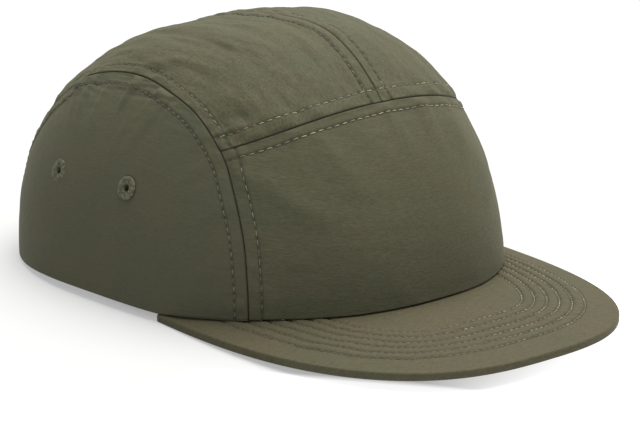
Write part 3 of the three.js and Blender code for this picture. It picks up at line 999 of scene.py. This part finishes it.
def plasticMaterial():
    # Satin moulded plastic with a fine grain
    material, tree, shader = newMaterial("sliderPlastic", roughness=0.38, specular=0.5)
    shader.inputs["Base Color"].default_value = finishes["plastic"]
    grain = noise(tree, objectPlace(tree), scale=2500.0)
    tree.links.new(ranged(tree, grain, 0.3, 0.7, 0.32, 0.48), shader.inputs["Roughness"])
    tree.links.new(bumped(tree, grain, 0.00003), shader.inputs["Normal"])
    return material


panelCloths = dict(
    front=nylonMaterial("frontNylon", "brown", "green", 0.2),
    # The side panels get the cooler copy of the cloth, as painted shade
    side=nylonMaterial("sideNylonShadeTint", "sideBrownShadeTint", "sideGreenShadeTint", 0.11),
    top=nylonMaterial("topNylon", "brown", "green", 0.29))
peakCloth = nylonMaterial("peakNylon", "peakBrown", "peakGreen", 0.28)
sewingThread = threadMaterial()
eyeletThread = eyeletMaterial()
webbing = webbingMaterial()
sliderPlastic = plasticMaterial()


# Sewing thread


thread = dict(
    length=2.25, radius=0.18, sides=6,
    stations=(-0.5, -0.38, 0.0, 0.38, 0.5),     # shares of the stitch's length
    swell=(0.2, 0.85, 1.0, 0.85, 0.2),          # shares of the thread's radius
    rise=(-0.25, 0.1, 0.2, 0.1, -0.25),         # millimetres over the cloth
    lit=(0.2, 0.9, 1.0, 0.9, 0.2),              # shares of the thread's tone, with painted shade at the sunk ends
    dulled=0.6, dulledPast=(-25.0, 35.0),       # duller towards the rear
    slip=0.1, wander=0.06, aside=0.4, slant=1.6,
    toneSpread=(0.4, 1.2), fewestPoints=4,
    tackStitches=6, tackWander=0.4, tackReach=1.7,
    # Painted glint: how much light the thread of each seam's rows catches
    tones=dict(front=1.0, centre=0.35, sideLow=0.45, sideHigh=0.65, side=0.4, opening=0.5),
)


def stitchCentres(row, chance):
    # Midway between the needle holes, which lie at whole numbers of the pitch
    first, last = row["run"][0], row["run"][-1]
    low, high = math.ceil(first / row["pitch"]), math.floor(last / row["pitch"])
    centres = (np.arange(low, high) + 0.5) * row["pitch"]
    centres = centres + chance.uniform(-thread["slip"], thread["slip"], len(centres))
    wander = chance.uniform(-1, 1, len(centres)) * thread["wander"]
    if not row.get("tack"):
        return centres, wander
    end = low * row["pitch"] if row["tack"] == "first" else high * row["pitch"]
    tack = end + chance.uniform(-1, 1, thread["tackStitches"]) * thread["tackReach"]
    aside = chance.uniform(-1, 1, thread["tackStitches"]) * thread["tackWander"]
    return np.concatenate([centres, tack]), np.concatenate([wander, aside])


def stitchTubes(row, chance):
    # Rings of points at each stitch's stations, and the tone of every point, which carries painted glint and
    # painted shade at the sunk ends
    stations = np.array(thread["stations"])
    centres, wander = stitchCentres(row, chance)
    at = centres[:, None] + stations * thread["length"] * row.get("share", 1.0)
    points, normals = [
        np.stack([np.interp(at, row["run"], row[key][:, k]) for k in range(3)], axis=-1)
        for key in ("points", "normals")]
    normals = unit(normals)
    way = unit(points[:, -1] - points[:, 0])[:, None]
    side = unit(np.cross(way, normals))
    points = points + normals * np.array(thread["rise"])[:, None]
    wander = wander[:, None, None]
    points = points + side * (wander * thread["aside"] + stations[None, :, None] * wander * thread["slant"])
    turn = np.arange(thread["sides"]) * 2 * math.pi / thread["sides"]
    ring = side[:, :, None] * np.cos(turn)[:, None] + normals[:, :, None] * np.sin(turn)[:, None]
    size = thread["radius"] * np.array(thread["swell"])[:, None, None]
    # Each stitch's tone: its row's painted glint, spread at random, then painted shade towards its sunk ends
    each = np.interp(centres, row["run"], row["tone"]) * chance.uniform(*thread["toneSpread"], len(centres))
    lit = each[:, None] * np.array(thread["lit"])
    return (points[:, :, None] + ring * size).reshape(-1, 3), np.repeat(lit.ravel(), thread["sides"])


def stitchMesh(rows, seed):
    # Each stitch is a short swollen tube along its row, its ends sunk into the cloth
    chance = np.random.default_rng(seed)
    tubes = [stitchTubes(row, chance) for row in rows]
    verts = np.concatenate([tube[0] for tube in tubes])
    stations, sides = len(thread["stations"]), thread["sides"]
    each = stations * sides
    one = gridFaces(stations, sides, wrapColumns=True)
    offsets = np.arange(len(verts) // each)[:, None, None] * each
    quads = (one[None] + offsets).reshape(-1, 4)
    first = (np.arange(sides)[::-1][None, None] + offsets).reshape(-1, sides)
    last = (np.arange(sides)[None, None] + each - sides + offsets).reshape(-1, sides)
    faces = [quads[:, ::-1], first[:, ::-1], last[:, ::-1]]
    return verts, faces, np.concatenate([tube[1] for tube in tubes])


def threadObject(name, rows, seed):
    sewn = [row for row in rows if len(row["points"]) > thread["fewestPoints"]]
    verts, faces, tones = stitchMesh(sewn, seed)
    piece = meshObject(name, verts, faces, attributes=dict(threadGlintAndTone=tones))
    piece.data.materials.append(sewingThread)
    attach(piece, "root")
    print("made", name, len(verts) // (len(thread["stations"]) * thread["sides"]), "stitches")


# Crown panels


crownRows = []
for name, place in (
        ("front_panel", frontPatch()),
        ("side_panel_right", sidePatch(-1)),
        ("side_panel_left", sidePatch(1)),
        ("top_panel_right", topPatch(-1)),
        ("top_panel_left", topPatch(1))):
    crownRows += clothPanel(name, place)
threadObject("crown_stitches", crownRows, 3)


# Eyelets


def eyeletProfile():
    # Over the cloth, back under it and up the hole: distance from the axis, height, and grip of the thread
    under = -cloth["thickness"] - eyelets["pad"]
    middle = (eyelets["hole"] + eyelets["reach"]) / 2
    half = (eyelets["reach"] - eyelets["hole"]) / 2
    turn = np.linspace(0, math.pi, eyelets["arcPoints"])
    over = np.stack([
        middle + half * np.cos(turn), eyelets["rise"] * np.sin(turn) ** eyelets["roundness"]], axis=-1)
    below = np.stack([middle - half * np.cos(turn), under - eyelets["belly"] * np.sin(turn)], axis=-1)
    core = np.stack([eyelets["core"], (under, eyelets["coreTop"])], axis=-1)
    grip = np.sin(turn) ** eyelets["grip"]
    upper = np.arange(2 * len(turn) + 1) < len(turn)
    return (
        np.concatenate([over, below[:-1], core]), np.concatenate([grip, grip[:-1], np.zeros(len(core))]),
        np.where(upper, 1, -1))


def eyeletObject(side, where):
    # A ring of thread wrapped through the cloth: a rounded profile turned round the hole, ribbed by
    # a cosine of the turn
    theta, phi = eyeletPlace(side, where)
    centre = crownSurface(theta, phi)[0]
    axis = crownNormal(theta, phi)[0]
    first = unit(np.cross(np.array([0.0, 0.0, 1.0]), axis))
    second = np.cross(axis, first)
    profile, grip, outwards = eyeletProfile()
    count = eyelets["wraps"] * eyelets["wrapPoints"]
    round_ = np.arange(count) * 2 * math.pi / count
    rib = np.abs(np.cos(round_ * eyelets["wraps"] / 2))[:, None] * eyelets["wrapDepth"]
    uneven = softNoise(round_ * 4, np.full_like(round_, side * 5), 9)[:, None] * eyelets["uneven"]
    radius = profile[None, :, 0] + uneven * eyelets["sway"]
    height = profile[None, :, 1] + (rib + uneven) * grip * outwards
    out = first * np.cos(round_)[:, None] + second * np.sin(round_)[:, None]
    points = centre + out[:, None] * radius[..., None] + axis * height[..., None]
    faces = gridFaces(len(round_), len(profile), wrapRows=True, wrapColumns=True)
    name = "eyelet_" + ("left" if side > 0 else "right") + "_" + where
    piece = meshObject(name + "_thread", points.reshape(-1, 3), [faces])
    piece.data.materials.append(eyeletThread)
    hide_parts(name)
    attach(piece, "root")


for side in (-1, 1):
    for where in ("front", "rear"):
        eyeletObject(side, where)
print("made eyelets")


# Peak


peak = dict(
    length=peakLength, thickness=3.0, tuck=3.0, tipSag=1.8, middleDip=0.92, squareness=2.698, gap=0.3,
    corner=0.75, cornerPoints=5, rows=6,
    firstRow=(14.2, 10.0), rowSpacing=(4.77, 4.5), toSide=(0.1, 0.62),   # in the middle and at the sides
    rowDepth=0.34, rowWidth=0.6, holeDepth=0.14, puff=0.38, stitchPitch=2.6, stitchShare=0.85,
    puffStart=(-0.3, 0.2), puffEnd=(-1.2, -0.7),        # rows past the first and past their number
    ripple=0.15, ripplePitch=2.6,
    waves=(dict(depth=0.18, across=24.0, up=11.0), dict(depth=0.06, across=9.0, up=4.0)),
    settles=(0.8, 3.0), underRelief=0.6,                # millimetres from the edge, and a share
    rowShades=(0.6, 1.1), plainShade=0.4, holeShade=0.6,
    tones=(0.25, 0.95), paintedLightFades=(-40.0, 25.0),        # painted glint on the thread, dull at the wearer's right and lit at the left; the painted groove shade grows the same way
    alongStep=0.74, acrossStep=0.47, underStep=1.5, edgePoints=1200, roughPoints=400,
)


def peakOuter(share):
    # A superellipse from one end on the rim round the tip to the other, sagging between
    endX, endY = rimPlan(np.radians(crown["peakRimAngle"]))
    angle = spreadAngle(share * math.pi / 2, peak["squareness"])
    across = signedPower(np.sin(angle), 2 / peak["squareness"])
    forward = np.maximum(np.cos(angle), 0) ** (2 / peak["squareness"])
    low = peak["thickness"] / 2
    high = crown["sideRimLift"] + crown["frontRimLift"] - peak["gap"] - low - peak["tipSag"]
    height = low + (high - low) * forward - 4 * peak["middleDip"] * forward * (1 - forward)
    tip = -crown["halfLength"] - peak["length"]
    return np.stack([across * endX, middleY + endY + (tip - endY) * forward, height], axis=-1)


def peakInner(share):
    # Follows the crown's rim, tucked in under it
    reach = spreadAngle(np.radians(crown["peakRimAngle"]), 4 / crown["rimSquareness"])
    theta = spreadAngle(share * reach, crown["rimSquareness"])
    zero = np.zeros_like(theta)
    point = crownSurface(theta, zero) - crownNormal(theta, zero) * peak["tuck"]
    point[..., 2] = rimHeight(theta) - peak["gap"] - peak["thickness"] / 2
    return point


def between(pair, share):
    return pair[0] + (pair[1] - pair[0]) * share


def peakRowField(points, outerEdge):
    # Row number at a point: its distance from the outer edge, in row spacings past the first row
    distance, place = nearestOnCurve(points * np.array([1, 1, 0.0]), outerEdge * np.array([1, 1, 0.0]))
    length = np.linalg.norm(np.diff(outerEdge, axis=0), axis=1).sum()
    toSide = smoothStep(np.abs(place / length - 0.5) * 2, *peak["toSide"])
    spacing = between(peak["rowSpacing"], toSide)
    return (distance - between(peak["firstRow"], toSide)) / spacing, spacing, distance, place


def peakRelief(points, field, spacing, holes, place, seed):
    # Stitched rows sink in, the cloth between them swells a little, and ripples cross the rows; the painted
    # shade of the row grooves comes back with the relief
    nearest = np.clip(np.round(field), 0, peak["rows"] - 1)
    off = np.abs(field - nearest) * spacing
    end = [peak["rows"] + past for past in peak["puffEnd"]]
    inRows = smoothStep(field, *peak["puffStart"]) * (1 - smoothStep(field, *end))
    row = np.exp(-(off / peak["rowWidth"]) ** 2)
    groove = row * (peak["rowDepth"] + peak["holeDepth"] * holes)
    swell = peak["puff"] * inRows * np.clip(1 - (1 - 2 * off / spacing) ** 2, 0, 1)
    ripple = peak["ripple"] * inRows * softNoise(place / peak["ripplePitch"], field, seed)
    x, y = points[..., 0], points[..., 1]
    slow = sum(
        wave["depth"] * softNoise(x / wave["across"], y / wave["up"], seed + 1 + k)
        for k, wave in enumerate(peak["waves"]))
    # Painted groove shade, stronger towards the wearer's left where the light falls
    shade = between(peak["rowShades"], smoothStep(x, *peak["paintedLightFades"]))
    return swell + ripple + slow - groove, row * shade * (peak["plainShade"] + peak["holeShade"] * holes)


def peakRows(points, field, place, up):
    # The stitched rows as lines on the peak, each with its own length along it
    normals = np.zeros_like(points)
    normals[..., 2] = up
    rows = []
    for k in range(peak["rows"]):
        line = levelLine(field, k, [points, normals, place[..., None]], 0, up > 0)
        line = line[np.argsort(line[:, 6])]
        run = lengthAlong(line[:, :3])
        # Painted glint on the thread, dull at the wearer's right and lit at the left
        tone = between(peak["tones"], smoothStep(line[:, 0], *peak["paintedLightFades"]))
        rows.append(dict(
            points=line[:, :3], normals=line[:, 3:6], place=line[:, 6], run=run - run[-1] / 2,
            pitch=peak["stitchPitch"], share=peak["stitchShare"], tone=tone))
    return rows


def peakHoles(field, place, rows):
    # Needle holes of the nearest row, by that row's own length at the same place along the edge
    nearest = np.clip(np.round(field), 0, peak["rows"] - 1)
    holes = np.zeros_like(field)
    for k, row in enumerate(rows):
        run = np.interp(place, row["place"], row["run"])
        holes = np.where(nearest == k, stitchHole(run, peak["stitchPitch"]), holes)
    return holes


def peakSection(width):
    # Over the top, round the outer edge and back below: how far out, and how high over the middle
    half, corner = peak["thickness"] / 2, peak["corner"]
    topRun = (width - corner) * np.linspace(0, 1, int(width.max() / peak["acrossStep"]))
    underRun = (width - corner) * np.linspace(1, 0, int(width.max() / peak["underStep"]))
    bend = np.linspace(0, math.pi / 2, peak["cornerPoints"] + 1)[1:]
    over = width - corner + corner * np.sin(bend)
    drop = half - corner + corner * np.cos(bend)
    run = np.concatenate([topRun, over, width, over[:, ::-1], underRun], axis=1)
    rise = np.concatenate([
        np.full(topRun.shape[1], half), drop, [0.0], -drop[::-1], np.full(underRun.shape[1], -half)])
    return run, rise, slice(0, topRun.shape[1]), slice(run.shape[1] - underRun.shape[1], None)


def peakObject():
    # The section at each place along the edge, from the rim's height to the edge's, with its relief
    rough = peakOuter(np.linspace(-1, 1, peak["roughPoints"]))
    outlineLength = np.linalg.norm(np.diff(rough, axis=0), axis=1).sum()
    shares = np.linspace(-1, 1, int(outlineLength / peak["alongStep"]))
    outer, inner = peakOuter(shares), peakInner(shares)
    level = (outer - inner) * np.array([1, 1, 0.0])
    width = np.linalg.norm(level, axis=1)[:, None]
    way = level / width
    run, rise, top, bottom = peakSection(width)
    points = inner[:, None] + way[:, None] * run[..., None]
    blend = np.minimum(run / width, 1)
    points[..., 2] = inner[:, None, 2] * (1 - blend) + outer[:, None, 2] * blend + rise
    edge = peakOuter(np.linspace(-1, 1, peak["edgePoints"]))
    field, spacing, distance, place = peakRowField(points, edge)
    sewn = peakRows(points[:, top], field[:, top], place[:, top], 1.0)
    relief, shade = peakRelief(points, field, spacing, peakHoles(field, place, sewn), place, 4)
    settled = smoothStep(distance, *peak["settles"])
    points[..., 2] += np.where(rise < 0, -peak["underRelief"] * relief, relief) * settled
    laid = points[..., :2] + way[:, None, :2] * (peak["thickness"] / 2 - rise)[None, :, None]
    faces = gridFaces(len(shares), run.shape[1], wrapColumns=True)
    one = np.arange(run.shape[1])[None]
    caps = [one, one[:, ::-1] + (len(shares) - 1) * run.shape[1]]
    # The painted groove shade goes with the mesh as its own attribute
    piece = meshObject(
        "peak_cloth", points.reshape(-1, 3), [faces, *caps], laid.reshape(-1, 2) / mapUnit,
        dict(seamShade=(shade * settled).ravel()))
    piece.data.materials.append(peakCloth)
    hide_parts("peak")
    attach(piece, "root")
    print("made peak", len(piece.data.polygons), "faces")
    rows = peakRows(points[:, top], field[:, top], place[:, top], 1.0)
    rows += peakRows(points[:, bottom], field[:, bottom], place[:, bottom], -1.0)
    threadObject("peak_stitches", rows, 5)


peakObject()


# Strap and slider


strap = dict(
    halfReach=47.0, thickness=1.6, lift=4.0, width=20.0, depth=3.0, rib=1.15, ribDepth=0.12,
    reachAngle=0.9, roughPoints=4000, points=420, acrossPoints=40,
    edgePower=24, edgeShare=0.3, ribSlant=0.12, ribTurn=4.2, clearShare=0.985,
)
slider = dict(
    length=16.0, wall=1.6, clear=0.6, round=1.3, depth=3.8, mouthRound=0.5, cornerPoints=8,
    bevels=((0.0, 0.6), (0.08, 0.3), (0.3, 0.08), (0.6, 0.0)),     # back from the end, and in from the side
    mouth=((0.0, 0.35), (0.35, 0.0)),
)


def strapLine():
    # Evenly spaced points and outward directions inside the rim at the rear, and the length up to each
    theta = math.pi - np.linspace(-strap["reachAngle"], strap["reachAngle"], strap["roughPoints"])
    plan = crownSurface(theta, np.zeros_like(theta))
    inside = np.abs(plan[:, 0]) < strap["halfReach"]
    length = lengthAlong(plan[inside])
    run = np.linspace(0, length[-1], strap["points"])
    theta = np.interp(run, length, theta[inside])
    return crownSurface(theta, np.zeros_like(theta)), crownNormal(theta, np.zeros_like(theta)), run


def strapObject():
    # A band inside the hem whose section is a flat oval, ribbed along its length by a cosine
    plan, out, run = strapLine()
    half, high = strap["thickness"] / 2, strap["width"] / 2
    side = np.linspace(-1, 1, strap["acrossPoints"])
    upper = np.stack([np.full_like(side, half), side * high], axis=-1)
    upper[:, 0] *= (1 - np.abs(side) ** strap["edgePower"]) * (1 - strap["edgeShare"]) + strap["edgeShare"]
    section = np.concatenate([upper, upper[::-1] * np.array([-1, 1])])
    across = section[None, :, 1]
    slanted = run[:, None] / strap["rib"] + strap["ribSlant"] * np.sin(across * strap["ribTurn"])
    wave = np.cos(2 * math.pi * slanted)
    depth = section[None, :, 0] + np.sign(section[None, :, 0]) * strap["ribDepth"] * (wave - 1) / 2
    middle = plan - out * (strap["depth"] + half)
    points = middle[:, None] + out[:, None] * depth[..., None]
    points[..., 2] = strap["lift"] + high + across * strap["clearShare"]
    size = len(section)
    faces = gridFaces(len(run), size, wrapColumns=True)[:, ::-1]
    ends = [np.arange(size)[None, ::-1], (np.arange(size) + (len(run) - 1) * size)[None]]
    uv = np.stack([np.broadcast_to(run[:, None], wave.shape), points[..., 2]], axis=-1) / mapUnit
    piece = meshObject("back_strap_webbing", points.reshape(-1, 3), [faces, *ends], uv.reshape(-1, 2))
    piece.data.materials.append(webbing)
    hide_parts("back_strap")
    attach(piece, "root")
    print("made back strap")


def roundedLoop(deep, high, radius):
    # A rectangle with quarter circle corners
    turn = np.linspace(0, math.pi / 2, slider["cornerPoints"])
    quarter = np.stack([np.cos(turn), np.sin(turn)], axis=-1) * radius
    corners = []
    for k, signs in enumerate([(1, 1), (-1, 1), (-1, -1), (1, -1)]):
        angle = k * math.pi / 2
        spin = np.array([[math.cos(angle), -math.sin(angle)], [math.sin(angle), math.cos(angle)]])
        corners.append(quarter @ spin.T + np.array([deep / 2 - radius, high / 2 - radius]) * np.array(signs))
    return np.concatenate(corners)


def sliderObject():
    # A plain sleeve: rounded loops swept over the outside, round the ends and back through the slot
    high = strap["width"] + slider["clear"]
    deep = strap["thickness"] + 2 * slider["clear"]
    wall, end = 2 * slider["wall"], slider["length"] / 2
    outside = [
        (back, roundedLoop(deep + wall - 2 * cut, high + wall - 2 * cut, slider["round"]))
        for back, cut in slider["bevels"]]
    inside = [
        (back, roundedLoop(deep + 2 * grow, high + 2 * grow, slider["mouthRound"]))
        for back, grow in slider["mouth"]]
    loops = [(-end + back, loop) for back, loop in outside]
    loops += [(end - back, loop) for back, loop in outside[::-1] + inside]
    loops += [(-end + back, loop) for back, loop in inside[::-1]]
    rear = crownSurface(np.array([math.pi]), np.zeros(1))[0]
    centre = np.array([0.0, rear[1] - slider["depth"], strap["lift"] + strap["width"] / 2])
    points = np.stack([
        np.column_stack([np.full(len(loop), x), loop[:, 0], loop[:, 1]]) for x, loop in loops]) + centre
    faces = gridFaces(len(loops), len(loops[0][1]), wrapRows=True, wrapColumns=True)
    piece = meshObject("strap_buckle_slider", points.reshape(-1, 3), [faces])
    piece.data.materials.append(sliderPlastic)
    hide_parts("strap_buckle")
    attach(piece, "root")
    print("made slider")


strapObject()
sliderObject()


# Floor, light and camera


view = dict(
    azimuth=-38.1, elevation=17.4, distance=1.0, lens=144.675, sensor=36.0, seenTo=50.0,
    right=0.018454, up=0.019947,                  # where the view's centre lies from the crown's middle
)
studio = dict(
    floorSize=12, floorTone=0.29, worldColour=(0.955, 1.0, 1.045, 1.0), worldStrength=0.72,
    lampPlace=(0.44, 0.07, 1.7), lampSize=1.7, lampPower=66.0, lampColour=(1.0, 0.98, 0.92),
)

# Painted light on the floor, which glows though it is no lamp, in half sizes of the crown from its middle, as
# ranges of place and of strength:
# little under the crown, a painted shadow, then more all round it, further out ahead of it, and in a short
# step beside it that starts at its front
glow = dict(
    around=(0.6, 0.95, 0.02, 0.39),
    ahead=(1.05, 1.5, 0.0, 0.6), aheadWay=(0.45, -0.9, 0.0),
    beside=(1.34, 1.39, 0.0, 0.5), besideWay=(-0.707, -0.707, 0.0),
    besideStarts=(-0.8, -1.1, 0.0, 1.0),
)


def floorMaterial():
    # Pale and matt, with painted light: a glow that keeps the floor white round and ahead of the crown, and a
    # painted shadow where it is weak under it
    material, tree, shader = newMaterial("paleFloor", roughness=0.9, specular=0.1)
    shader.inputs["Base Color"].default_value = (studio["floorTone"],) * 3 + (1.0,)
    shader.inputs["Emission Color"].default_value = (1.0, 1.0, 1.0, 1.0)
    inputs = dict(
        Vector=objectPlace(tree), Location=(0.0, middleY * mm, 0.0),
        Scale=(crown["halfWidth"] * mm, crown["halfLength"] * mm, 1.0))
    place = addNode(tree, "Mapping", inputs, vector_type="TEXTURE")
    radius = addNode(tree, "VectorMath", {0: place}, "Value", operation="LENGTH")
    out = {
        name: addNode(tree, "VectorMath", {0: place, 1: glow[name + "Way"]}, "Value", operation="DOT_PRODUCT")
        for name in ("ahead", "beside")}
    ahead, beside = [ranged(tree, out[name], *glow[name]) for name in out]
    started = ranged(tree, addNode(tree, "SeparateXYZ", {0: place}, "Y"), *glow["besideStarts"])
    # A painted pool of light ahead of the crown and beside its front
    pool = calculated(tree, "MAXIMUM", ahead, calculated(tree, "MULTIPLY", beside, started))
    strength = calculated(tree, "ADD", ranged(tree, radius, *glow["around"]), pool)
    tree.links.new(strength, shader.inputs["Emission Strength"])
    return material


def stageAndLight():
    bpy.ops.mesh.primitive_plane_add(size=studio["floorSize"])
    floor = bpy.context.object
    floor.name = "floor"
    floor.data.materials.append(floorMaterial())
    world = bpy.data.worlds.new("studio")
    bpy.context.scene.world = world
    world.use_nodes = True
    background = world.node_tree.nodes["Background"]
    background.inputs["Color"].default_value = studio["worldColour"]
    background.inputs["Strength"].default_value = studio["worldStrength"]
    lamp = bpy.data.lights.new("topLamp", "AREA")
    lamp.size = studio["lampSize"]
    lamp.energy = studio["lampPower"]
    lamp.color = studio["lampColour"]
    holder = bpy.data.objects.new("topLamp", lamp)
    bpy.context.scene.collection.objects.link(holder)
    holder.location = studio["lampPlace"]
    x, y, z = studio["lampPlace"]
    holder.rotation_euler = (math.atan2(math.hypot(x, y), z), 0.0, math.atan2(-y, -x) - math.pi / 2)


def setCamera():
    # Aimed at a point beside the crown's middle, level and untilted
    azimuth, elevation = math.radians(view["azimuth"]), math.radians(view["elevation"])
    level = math.cos(elevation)
    right = np.array([math.cos(azimuth), math.sin(azimuth), 0.0])
    back = np.array([math.sin(azimuth) * level, -math.cos(azimuth) * level, math.sin(elevation)])
    target = right * view["right"] + np.array([0.0, middleY * mm, view["up"]])
    camera = bpy.data.cameras.new("camera")
    camera.lens = view["lens"]
    camera.sensor_width = view["sensor"]
    camera.clip_end = view["seenTo"]
    holder = bpy.data.objects.new("camera", camera)
    bpy.context.scene.collection.objects.link(holder)
    holder.location = target + back * view["distance"]
    holder.rotation_euler = (math.pi / 2 - elevation, 0.0, azimuth)
    bpy.context.scene.camera = holder


stageAndLight()
setCamera()
bpy.context.scene.view_settings.view_transform = "Standard"
print("floor, light and camera set")

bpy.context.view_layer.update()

shown = [piece for piece in bpy.context.scene.objects if piece.type == "MESH" and not piece.hide_render]
triangles = sum(len(face.vertices) - 2 for piece in shown for face in piece.data.polygons)
print("triangles in all", triangles)
